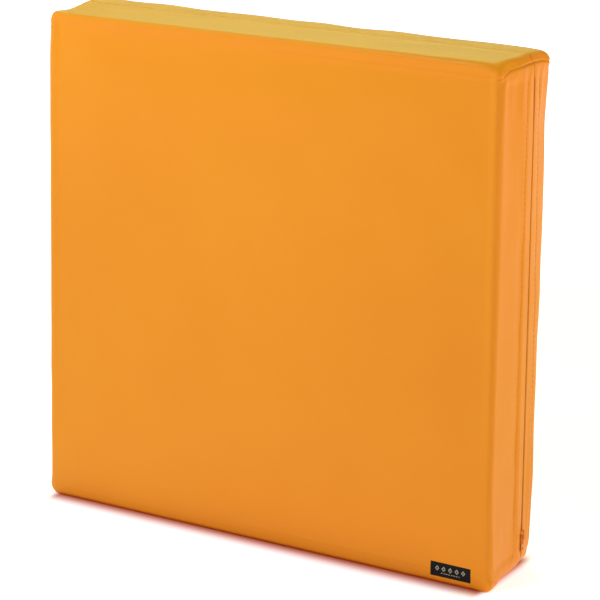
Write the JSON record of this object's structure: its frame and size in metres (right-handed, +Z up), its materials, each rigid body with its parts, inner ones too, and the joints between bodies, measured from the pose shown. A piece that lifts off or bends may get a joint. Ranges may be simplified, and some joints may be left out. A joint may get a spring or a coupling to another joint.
{
  "type": "kneeling pad",
  "caption": "Square foam kneeling pad in a coated-cloth cover with rounded edges, boxed corner seams and a zip along one narrow side.",
  "frame": {"origin": "under the middle of the pad, on the surface that it stands on", "axes": "+X toward the zipped narrow side, +Y through the thickness from the labelled face to the back face, +Z up"},
  "size_m": [0.4532, 0.0806, 0.45],
  "materials": {
    "cover_cloth": "satin",
    "foam": "matte",
    "zip_tape": "matte",
    "zip_coil": "satin",
    "zip_metal": "satin",
    "thread": "satin",
    "label_cloth": "satin",
    "label_thread": "satin"
  },
  "bodies": {
    "pad": {"foam_core": "foam", "front_cover": "cover_cloth", "back_cover": "cover_cloth", "zip_tape_front": "zip_tape", "zip_tape_back": "zip_tape", "zip_coil_front": "zip_coil", "zip_coil_back": "zip_coil", "zip_end_stops": "zip_metal", "zip_start_stop": "zip_metal", "cover_seam_stitching": "thread", "front_corner_stitching": "thread", "back_corner_stitching": "thread", "zip_front_stitching": "thread", "zip_back_stitching": "thread", "label": "label_cloth", "label_stitching": "label_thread"},
    "slider": {"zip_slider": "zip_metal"},
    "pull": {"zip_pull": "zip_metal"}
  },
  "joints": [
    {"name": "zip_slide", "type": "slide", "parent": "pad", "child": "slider", "axis": [0, -0.0267, 0.9996], "range_m": [0, 0.389]},
    {"name": "pull_swing", "type": "hinge", "parent": "slider", "child": "pull", "pos_m": [0.2262, 0.02014, 0.03219], "axis": [0, -0.9996, -0.0267], "range_deg": [0, 175]}
  ]
}
